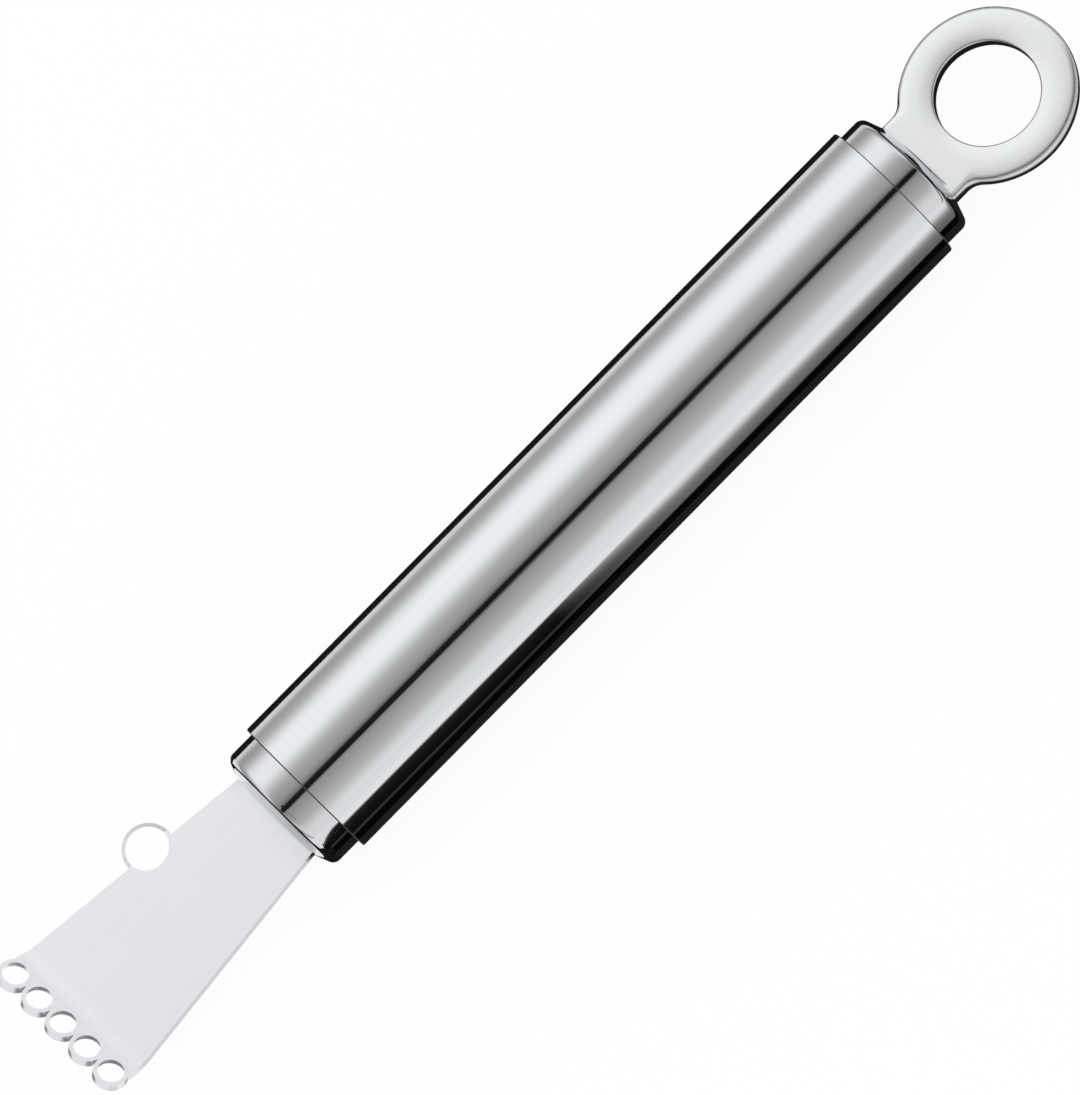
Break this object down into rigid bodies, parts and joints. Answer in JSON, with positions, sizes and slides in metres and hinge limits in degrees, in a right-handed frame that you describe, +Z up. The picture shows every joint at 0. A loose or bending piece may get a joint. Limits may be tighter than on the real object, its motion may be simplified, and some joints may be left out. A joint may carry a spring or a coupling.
{
  "type": "citrus zester",
  "caption": "Hand tool that shaves fine strips of citrus peel: a round steel handle with a hanging eyelet, and a flared blade with cutting rings at its tip and side.",
  "frame": {"origin": "on the surface that the tool lies on, below the middle of its bounding box", "axes": "+X along the handle towards the hanging eyelet, +Y towards the side ring, +Z up out of the face that the rings rise from"},
  "size_m": [0.1596, 0.0216, 0.0185],
  "materials": {
    "sleeve_steel": "bright drawn stainless steel with fine lengthwise lines",
    "cap_steel": "bright drawn stainless steel",
    "blade_steel": "satin ground stainless steel",
    "eyelet_steel": "satin stainless steel with softened edges",
    "weld_steel": "plain weld metal"
  },
  "bodies": {
    "root": {"handle_sleeve": "sleeve_steel", "front_cap": "cap_steel", "rear_cap": "cap_steel", "zester_blade": "blade_steel", "hanging_eyelet": "eyelet_steel", "front_weld": "weld_steel", "rear_weld": "weld_steel"}
  },
  "joints": []
}
